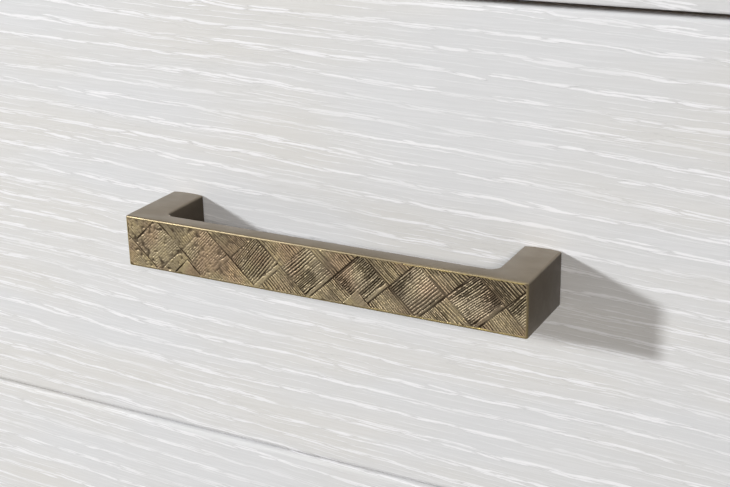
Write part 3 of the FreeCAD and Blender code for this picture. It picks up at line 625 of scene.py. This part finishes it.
def case_hollow():
    """Two corners of the space behind the drawer fronts, wide enough to take in the case's inner faces."""
    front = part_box("upper_drawer_front")[0].y
    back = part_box("top_panel")[1].y
    low = Vector((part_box("left_side_panel")[1].x, front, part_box("bottom_panel")[1].z))
    high = Vector((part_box("right_side_panel")[0].x, back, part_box("top_panel")[0].z))
    skin = Vector((1, 0, 1)) * MILLIMETRE / 2
    return low - skin, high + skin


def share_of(value):
    """A value held between 0 and 1."""
    return min(1.0, max(0.0, value))


def smooth_rise(value, low, high):
    """0 below low, 1 above high, and a smooth rise between."""
    share = share_of((value - low) / (high - low))
    return share * share * (3 - 2 * share)


def jitter(*place):
    """Steady noise about 0, mostly within a half, for three numbers.

    Numbers that are added to a place or multiply an index are seeds, which keep one trait apart from another.
    """
    return noise.noise(Vector(place))


def speckle(along, up, often, seed):
    """Steady noise over a pull's front that changes about so often in a metre."""
    return jitter(along * often, up * often, seed)


def hatch_cut(along, up, index, side, pull):
    """Depth from 0 to 1 of a patch's parallel scored lines, which differ in width, depth and run."""
    slope = math.radians(LINE_SLOPE + SLOPE_SPREAD * jitter(index * 7.31, side * 3.17, 1.3))
    lean = -1 if side == DIAMOND else 1
    rise = along * math.sin(slope) + lean * up * math.cos(slope)
    run = along * math.cos(slope) - lean * up * math.sin(slope)
    pitch = pull.line_pitch * LINE_SPREAD[side] * (1 + 0.25 * jitter(index * 3.7, side * 9.1, 5.2))
    sway = 0.4 * speckle(along, up, 70, side * 9.0) + 0.13 * speckle(along, up, 420, 3.3)
    crowding = 2.0 * jitter(rise * 130, index * 3.3, side * 5.9)
    line = rise / pitch + crowding + sway
    number = round(line)
    width = 0.6 + 0.65 * jitter(number * 0.83, index * 2.7 + side, 4.2)
    groove = 1 - smooth_rise(abs(line - number) * 2, 0.08, width)
    strength = 1.25 + 0.8 * jitter(number * 1.71, index * 1.9 + side, 8.8)
    strength *= 0.95 + LINE_BREAKS[side] * jitter(run * 240, number * 1.37, 1.1)
    return groove * share_of(strength)


def border_cut(along, up, reach, worn, pull):
    """Depth from 0 to 1 of the crossing lines that bound the diamonds, some cut deep and some faint."""
    cell = (along - pull.first_corner) / pull.cell_pitch
    slant = up / (2 * reach.y)
    row_distance = 1 / math.hypot(1 / pull.cell_pitch, 0.5 / reach.y)
    deepest = 0.0
    for family, number in enumerate((cell + slant, cell - slant)):
        edge = round(number)
        groove = 1 - smooth_rise(abs(number - edge) * row_distance, 0.0001, 0.00045)
        strength = 0.55 - 0.2 * worn + 0.8 * jitter(edge * 5.3, family * 3.1, 6.6)
        strength += (0.6 + 0.7 * worn) * speckle(along, up, 180, 2.9 + family)
        deepest = max(deepest, groove * share_of(strength))
    return deepest


def score_at(along, up, reach, pull):
    """Depth of the scored pattern at a place on a pull's front, and how bare, rubbed and ruddy its metal is.

    Diamonds of rising lines stand in a row, with falling lines in the triangles between them.
    The lines are worn faint towards the left end, and two wedges are left smooth. All run from 0 to 1.
    """
    ragged = 0.0005 * speckle(along, up, 420, 0.7)
    cell = (along + ragged - pull.first_corner) / pull.cell_pitch
    index = math.floor(cell)
    side = DIAMOND
    offset = 2 * (cell - index) - 1
    level = up / reach.y
    to_lower_right = 1 - offset + level
    if abs(offset) + abs(level) > 1:
        index = round(cell)
        side = BETWEEN_ABOVE if up > 0 else BETWEEN_BELOW

    worn = 1 - smooth_rise(along / reach.x, *WORN_END)
    leftward = 1 - smooth_rise(along / reach.x, *LEFT_PART)
    blotch = smooth_rise(speckle(along, up, 110, 7.7), -0.5, 0.1)
    keep = (1 - 0.6 * worn) * (0.5 + 0.5 * blotch) * (1 - 0.18 * leftward)
    border = border_cut(along, up, reach, worn, pull)
    has_plain_strip = side == DIAMOND and jitter(index * 4.1, 2.2, 0.4) > -0.2
    if has_plain_strip:
        keep *= 0.2 + 0.8 * smooth_rise(to_lower_right, 0.2, 0.26)
        inner_line = 1 - smooth_rise(abs(to_lower_right - 0.26), 0.01, 0.05)
        border = max(border, inner_line * (0.5 + speckle(along, up, 180, 6.4)))
    hatch = hatch_cut(along, up, index, side, pull) * keep
    pits = smooth_rise(speckle(along, up, 560, 2.2), 0.05, 0.6)
    pits *= 0.12 + 0.23 * leftward + 0.3 * worn
    grit = (0.1 + 0.17 * leftward) * speckle(along, up, 1300, 6.1)

    tone = RIDGE_POLISH[side] + 0.26 * leftward + 0.38 * jitter(index * 3.32, side * 4.7, 4.81)
    tone = share_of(tone + 0.5 * speckle(along, up, 170, 5.5))
    redness = jitter(along * 100 + 32.33, up * 100, 10.75) + 0.1 * leftward - 0.1 * RIDGE_BRASS[side]
    ruddy = 0.85 * smooth_rise(redness, -0.2, 0.4)
    brassy = (RIDGE_BRASS[side] + 0.08 * leftward) * tone * (1 - 0.5 * ruddy)

    depth_in = max(tip - up - abs(along - middle) for middle, tip in SMOOTH_WEDGES)
    smooth = smooth_rise(depth_in, 0.0, 0.0003)
    outline = 1 - smooth_rise(abs(depth_in), 0.0001, 0.0004)
    outline *= 0.6 + speckle(along, up, 210, 3.8)
    cut = max(max(hatch, border, pits) * (1 - 0.8 * smooth), outline) + grit * (1 - 0.4 * smooth)
    cut = share_of(cut)
    return cut, brassy * (1 - cut), tone * (1 - cut), ruddy


def each_once(items):
    """The items in their order, without repeats."""
    return list(dict.fromkeys(items))


def settle(bm):
    """Sorts the faces by the numbers of their corners, as some operators order them anew in each run."""
    bm.verts.index_update()
    count = len(bm.verts)

    def rank(face):
        first, second, third = sorted(vert.index for vert in face.verts)[:3]
        return (first * count + second) * count + third

    bm.faces.sort(key=rank)


def round_off(bm, edges, radius, segments):
    """Rounds edges to a radius."""
    bmesh.ops.bevel(
        bm, geom=edges, offset=radius, segments=segments, profile=0.5, affect="EDGES", material=-1
    )
    settle(bm)
    bm.normal_update()


def is_upright(edge):
    """Whether an edge runs up and down."""
    return abs(edge.verts[0].co.z - edge.verts[1].co.z) > MILLIMETRE


def is_inner_corner(edge, bar_back):
    """Whether an edge is one of the two upright corners between the bar's back and a leg."""
    on_back = all(abs(vert.co.y - bar_back) < HAIRBREADTH for vert in edge.verts)
    return on_back and is_upright(edge) and not edge.is_convex


def pull_blank(low, high, pull):
    """The smooth pull: a bar with two legs to the drawer front, filleted inside and eased outside."""
    bm = bmesh.new()
    bmesh.ops.create_cube(bm, size=1.0)
    size = high - low
    bmesh.ops.scale(bm, vec=(size.x, pull.bar_thickness, size.z), verts=bm.verts)
    middle = Vector(((low.x + high.x) / 2, low.y + pull.bar_thickness / 2, (low.z + high.z) / 2))
    bmesh.ops.translate(bm, vec=middle, verts=bm.verts)
    inner = size.x / 2 - pull.leg_width
    for side in (-1, 1):
        everything = [*bm.verts, *bm.edges, *bm.faces]
        bmesh.ops.bisect_plane(
            bm, geom=everything, plane_co=middle + Vector((side * inner, 0, 0)), plane_no=(1, 0, 0)
        )
    roots = [
        face
        for face in bm.faces
        if face.normal.y > 0.5 and abs(face.calc_center_median().x - middle.x) > inner
    ]
    legs = bmesh.ops.extrude_discrete_faces(bm, faces=roots)["faces"]
    tips = each_once(vert for face in legs for vert in face.verts)
    bmesh.ops.translate(bm, vec=(0, size.y - pull.bar_thickness, 0), verts=tips)
    bmesh.ops.dissolve_limit(bm, angle_limit=0.01, verts=bm.verts, edges=bm.edges)

    bar_back = low.y + pull.bar_thickness
    wall = high.y - HAIRBREADTH
    hollow = [edge for edge in bm.edges if is_inner_corner(edge, bar_back)]
    round_off(bm, hollow, pull.inner_radius, segments=8)
    feet = [edge for edge in bm.edges if is_upright(edge) and min(v.co.y for v in edge.verts) > wall]
    round_off(bm, feet, pull.foot_radius, segments=4)
    sharp = [
        edge
        for edge in bm.edges
        if edge.calc_face_angle(0.0) > EASED_BEND and min(v.co.y for v in edge.verts) < wall
    ]
    round_off(bm, sharp, pull.edge_radius, segments=3)
    return bm


def on_front(face, front):
    """Whether a face lies in the plane of the pull's front."""
    return all(abs(vert.co.y - front) < HAIRBREADTH for vert in face.verts)


def score_front(bm, low, high, pull):
    """Cuts the pattern of scored lines into the pull's front, and keeps every vertex's wear as attributes,
    with painted light on the top face and painted shade on the rim's upper left.
    """
    score, bare, rubbed, ruddy = [bm.verts.layers.float.new(label) for label in WEAR]
    height = high.z - low.z
    squares = round((high.x - low.x) / height)
    for step in range(1, squares):
        faces = [face for face in bm.faces if on_front(face, low.y)]
        around = each_once(edge for face in faces for edge in face.edges)
        corners = each_once(vert for face in faces for vert in face.verts)
        cut_at = low.x + (high.x - low.x) * step / squares
        bmesh.ops.bisect_plane(
            bm, geom=[*faces, *around, *corners], plane_co=(cut_at, 0, 0), plane_no=(1, 0, 0)
        )
        settle(bm)
    faces = [face for face in bm.faces if on_front(face, low.y)]
    around = each_once(edge for face in faces for edge in face.edges)
    bmesh.ops.subdivide_edges(bm, edges=around, cuts=pull.front_cuts, use_grid_fill=True)
    settle(bm)

    middle = (low + high) / 2
    reach = Vector(((high.x - low.x) / 2, height / 2))
    radius = pull.edge_radius
    for vert in bm.verts:
        along = vert.co.x - middle.x
        up = vert.co.z - middle.z
        rightward = smooth_rise(along / reach.x, *RIGHT_PART)
        rim_wear = 0.3 + 1.2 * rightward + (0.6 + 1.2 * rightward) * speckle(along, up, 260, 8.1)
        rim_wear = max(0.0, rim_wear)
        if along > reach.x - 2 * radius:
            rim_wear *= 0.3

        if vert.co.y > low.y + HAIRBREADTH:
            frontward = smooth_rise(-vert.co.y, -low.y - 1.2 * radius, -low.y)
            topward = smooth_rise(vert.co.z, high.z - radius, high.z)
            # Painted light, partly real handling wear: the whole top face gets the lighter rubbed bronze as
            # if lit from above. Towards the left its front edge is held dark instead, as painted shade that
            # dims the lamp's highlight.
            vert[rubbed] = topward * (1 - 0.9 * (1 - rightward) * frontward)
            vert[bare] = 0.5 * rim_wear * frontward * (0.3 + 0.7 * rightward)
            if min(reach.x + along, reach.y + up) < 0.9 * radius:
                vert[bare] = 0.8 * frontward * (1 - topward)
            continue

        to_rim = min(reach.x - abs(along), reach.y - abs(up)) - radius
        rim = 1 - smooth_rise(to_rim, 0.0, pull.rim_width * (1 + speckle(along, up, 260, 1.7)))
        nick = 0.7 * smooth_rise(speckle(along, up, 520, 9.3), 0.3, 0.55)
        cut, brassy, polished, vert[ruddy] = score_at(along, up, reach, pull)
        cut = cut * (1 - rim) + nick * rim
        # Painted shade: near the upper left the rim loses its bare brass and polish, which dims the lamp's
        # highlight there
        upper_left = smooth_rise(up, 0.0, reach.y) * (1 - smooth_rise(along / reach.x, *DULL_END))
        shine = 1 - 0.75 * rim * upper_left
        vert[score] = cut
        vert[bare] = max(0.55 * rim_wear * rim * (1 - nick), brassy * shine)
        vert[rubbed] = polished * shine
        vert.co.y += cut * pull.score_depth


def add_piece(name, bm, material, body, node):
    """Makes a bmesh a piece that rides on a body in place of a CAD node."""
    mesh = bpy.data.meshes.new(name)
    bm.to_mesh(mesh)
    bm.free()
    mesh.materials.append(material)
    mesh.shade_smooth()
    mesh.set_sharp_from_angle(angle=SHARP_BEND)
    piece = bpy.data.objects.new(name, mesh)
    bpy.context.scene.collection.objects.link(piece)
    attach(piece, body)
    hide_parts(node)


def seen_ray(tree):
    """1 for rays from the camera and those that metal or glass sends on from it, else 0."""
    path = tree.nodes.new("ShaderNodeLightPath").outputs
    sent_on = reckon(tree, "MAXIMUM", path["Is Glossy Ray"], path["Is Transmission Ray"])
    return reckon(tree, "MAXIMUM", path["Is Camera Ray"], sent_on)


def add_floor(stage):
    """A wide pale floor that fades into the background far from the object."""
    bm = bmesh.new()
    bmesh.ops.create_circle(bm, cap_ends=True, segments=96, radius=FLOOR_RADIUS)
    mesh = bpy.data.meshes.new("floor")
    bm.to_mesh(mesh)
    bm.free()
    floor = bpy.data.objects.new("floor", mesh)
    bpy.context.scene.collection.objects.link(floor)

    material, tree, shader = start_material("Pale Floor")
    place = tree.nodes.new("ShaderNodeTexCoord").outputs["Object"]
    bounced = tree.nodes.new("ShaderNodeLightPath").outputs["Is Diffuse Ray"]
    tint = grained(tree, place, along=3.0, across=3.0, detail=4.0)
    deeper = tuple(part * 0.96 for part in stage.floor)
    pale = mingle(tree, tint, opaque(stage.floor), opaque(deeper))
    dim = tuple(part * FLOOR_BOUNCE for part in stage.floor)
    tree.links.new(mingle(tree, bounced, pale, opaque(dim)), shader.inputs["Base Color"])
    shader.inputs["Roughness"].default_value = 0.7
    far_off = add_node(tree, "ShaderNodeVectorMath", {0: place}, operation="LENGTH").outputs["Value"]
    fade = reckon(tree, "MULTIPLY", ease(tree, far_off, *FLOOR_FADE), seen_ray(tree))
    glow = add_node(tree, "ShaderNodeEmission", {"Color": opaque(stage.background), "Strength": 1.0})
    mixed = add_node(tree, "ShaderNodeMixShader", {0: fade, 1: shader.outputs[0], 2: glow.outputs[0]})
    output = next(node for node in tree.nodes if node.type == "OUTPUT_MATERIAL")
    tree.links.new(mixed.outputs[0], output.inputs["Surface"])
    mesh.materials.append(material)


def add_lamp(name, kind, toward, distance, **values):
    """A lamp that stands in a direction from the upper pull and shines at it."""
    data = bpy.data.lights.new(name, kind)
    for label, value in values.items():
        setattr(data, label, value)
    lamp = bpy.data.objects.new(name, data)
    lamp.location = LAMP_AIM + toward * distance
    lamp.rotation_mode = "QUATERNION"
    lamp.rotation_quaternion = (-toward).to_track_quat("-Z", "Y")
    bpy.context.scene.collection.objects.link(lamp)


def add_lamps(stage):
    """A small bright lamp at the front left, as a window's sun, and soft ones from the front and behind."""
    add_lamp(
        "key", "AREA", TO_KEY, distance=4.5, shape="DISK", size=0.39, energy=stage.key_power, color=DAYLIGHT
    )
    add_lamp(
        "front",
        "SUN",
        TO_FRONT,
        distance=3.0,
        angle=math.radians(12),
        energy=stage.front_strength,
        color=WARM_LIGHT,
    )
    add_lamp("rear", "SUN", TO_REAR, distance=3.0, angle=math.radians(50), energy=stage.rear_strength)


def set_background(scene, stage):
    """Weak light all round, stronger from behind, and the background that the camera and metal see."""
    world = bpy.data.worlds.new("Room")
    world.use_nodes = True
    tree = world.node_tree
    tree.nodes.clear()
    outward = tree.nodes.new("ShaderNodeTexCoord").outputs["Generated"]
    to_rear = add_node(tree, "ShaderNodeSeparateXYZ", {0: outward}).outputs["Y"]
    strength = span(tree, ease(tree, to_rear, -0.1, 0.4), stage.fill_strength, stage.rear_fill)
    light = add_node(tree, "ShaderNodeBackground", {"Color": opaque(WARM_LIGHT), "Strength": strength})
    seen = add_node(tree, "ShaderNodeBackground", {"Color": opaque(stage.background), "Strength": 1.0})
    mixed = add_node(
        tree, "ShaderNodeMixShader", {0: seen_ray(tree), 1: light.outputs[0], 2: seen.outputs[0]}
    )
    add_node(tree, "ShaderNodeOutputWorld", {"Surface": mixed.outputs[0]})
    scene.world = world


def add_camera(scene, stage):
    """A camera near the upper pull, looking down from the right."""
    data = bpy.data.cameras.new("camera")
    data.sensor_fit = "HORIZONTAL"
    data.lens = stage.focal_pixels * data.sensor_width / IMAGE_WIDTH_PX
    data.clip_start = 0.01
    camera = bpy.data.objects.new("camera", data)
    turn = Matrix.Rotation(stage.camera_azimuth, 4, "Z")
    tilt = Matrix.Rotation(math.radians(90) - stage.camera_elevation, 4, "X")
    roll = Matrix.Rotation(stage.camera_roll, 4, "Z")
    camera.matrix_world = Matrix.Translation(stage.camera_place) @ turn @ tilt @ roll
    scene.collection.objects.link(camera)
    scene.camera = camera


class NIGHTSTAND_OT_oak(bpy.types.Operator):
    """Finish the case, the base and the drawer fronts in limed oak"""

    bl_idname = "nightstand.oak"
    bl_label = "Limed Oak"

    def execute(self, context):
        oak = context.scene.nightstand.oak
        across = ["front_apron", "rear_apron", *for_each_drawer("drawer_front")]
        legs = [f"{end}_{side}_leg" for end in ("front", "rear") for side in ("left", "right")]
        dress(limed_oak("Limed Oak Across", ACROSS, oak), across)
        dress(limed_oak("Limed Oak Upright", UPRIGHT, oak), legs)
        dress(limed_oak("Limed Oak Front to Back", FRONT_TO_BACK, oak), ["left_apron", "right_apron"])
        hollow = case_hollow()
        dress(limed_oak("Limed Oak Panels Across", ACROSS, oak, hollow), ["top_panel", "bottom_panel"])
        side_panels = ["left_side_panel", "right_side_panel"]
        dress(limed_oak("Limed Oak Panels Upright", UPRIGHT, oak, hollow), side_panels)
        return {"FINISHED"}


class NIGHTSTAND_OT_boxes(bpy.types.Operator):
    """Finish the drawer boxes, the inner rails and the plywood panels"""

    bl_idname = "nightstand.boxes"
    bl_label = "Drawer Boxes"

    def execute(self, context):
        box = context.scene.nightstand.box
        rails = ["front_mid_rail", "rear_mid_rail", "rail_dowels"]
        dress(birch("Birch Across", ACROSS, box), [*rails, *for_each_drawer("box_front", "box_back")])
        sides = for_each_drawer("box_left_side", "box_right_side")
        dress(birch("Birch Front to Back", FRONT_TO_BACK, box), ["mitre_splines", *sides])
        back_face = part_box("back_panel")[1].y
        dress(plywood("Plywood Upright", UPRIGHT, "Y", back_face, box), ["back_panel"])
        for drawer in DRAWERS:
            panel = f"{drawer}_box_bottom"
            material = plywood(f"Plywood {drawer.title()} Bottom", ACROSS, "Z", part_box(panel)[1].z, box)
            dress(material, [panel])
        return {"FINISHED"}


class NIGHTSTAND_OT_hardware(bpy.types.Operator):
    """Finish the slides, the screws, the ball rows and the leg glides"""

    bl_idname = "nightstand.hardware"
    bl_label = "Slides and Screws"

    def execute(self, context):
        metal = context.scene.nightstand.metal
        channels = ("case", "middle", "drawer")
        slides = [f"{side}_{channel}_slide" for side in ("left", "right") for channel in channels]
        screws = ["back_panel_screws", "base_screws", "case_slide_screws"]
        drawer_screws = for_each_drawer("pull_screws", "front_screws", "drawer_slide_screws")
        plated = plated_steel("Zinc Plated Steel", FRONT_TO_BACK, metal)
        dress(plated, [*for_each_drawer(*slides), *screws, *drawer_screws])
        rows = for_each_drawer("outer_ball_cages", "inner_ball_cages")
        dress(bright_steel("Bright Ball Steel", FRONT_TO_BACK, metal), rows)
        dress(moulded_nylon("Moulded Nylon", ACROSS, metal), ["leg_glides"])
        return {"FINISHED"}


class NIGHTSTAND_OT_pulls(bpy.types.Operator):
    """Build the two bronze pulls with their scored fronts"""

    bl_idname = "nightstand.pulls"
    bl_label = "Scored Pulls"

    def execute(self, context):
        settings = context.scene.nightstand
        bronze = aged_bronze("Aged Bronze", settings.metal)
        for drawer in DRAWERS:
            node = f"{drawer}_pull"
            low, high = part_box(node)
            bm = pull_blank(low, high, settings.pull)
            score_front(bm, low, high, settings.pull)
            add_piece(f"{drawer}_scored_pull", bm, bronze, f"{drawer}_drawer", node)
        return {"FINISHED"}


class NIGHTSTAND_OT_stage(bpy.types.Operator):
    """Set the floor, the lamps, the background and the camera"""

    bl_idname = "nightstand.stage"
    bl_label = "Stage"

    def execute(self, context):
        stage = context.scene.nightstand.stage
        add_floor(stage)
        add_lamps(stage)
        set_background(context.scene, stage)
        add_camera(context.scene, stage)
        context.scene.view_settings.view_transform = "Standard"
        return {"FINISHED"}


STEPS = (
    NIGHTSTAND_OT_oak,
    NIGHTSTAND_OT_boxes,
    NIGHTSTAND_OT_hardware,
    NIGHTSTAND_OT_pulls,
    NIGHTSTAND_OT_stage,
)


class NIGHTSTAND_PT_panel(bpy.types.Panel):
    """Lists the steps and the values that they read"""

    bl_idname = "NIGHTSTAND_PT_panel"
    bl_label = "Nightstand"
    bl_space_type = "VIEW_3D"
    bl_region_type = "UI"
    bl_category = "Nightstand"

    def draw(self, context):
        settings = context.scene.nightstand
        for group in (settings.oak, settings.box, settings.metal, settings.pull, settings.stage):
            box = self.layout.box()
            for name in group.bl_rna.properties.keys():
                if name not in ("rna_type", "name"):
                    box.prop(group, name)
        for step in STEPS:
            self.layout.operator(step.bl_idname)


CLASSES = (
    OakSettings,
    BoxSettings,
    MetalSettings,
    PullSettings,
    StageSettings,
    NightstandSettings,
    *STEPS,
    NIGHTSTAND_PT_panel,
)


def register():
    """Makes the classes known and gives each scene the values."""
    for kind in CLASSES:
        bpy.utils.register_class(kind)
    bpy.types.Scene.nightstand = PointerProperty(type=NightstandSettings)


def unregister():
    """Takes back what register did."""
    del bpy.types.Scene.nightstand
    for kind in reversed(CLASSES):
        bpy.utils.unregister_class(kind)


def main():
    """Runs the steps in order."""
    register()
    bpy.ops.nightstand.oak()
    bpy.ops.nightstand.boxes()
    bpy.ops.nightstand.hardware()
    bpy.ops.nightstand.pulls()
    bpy.ops.nightstand.stage()


if __name__ == "__main__":
    main()
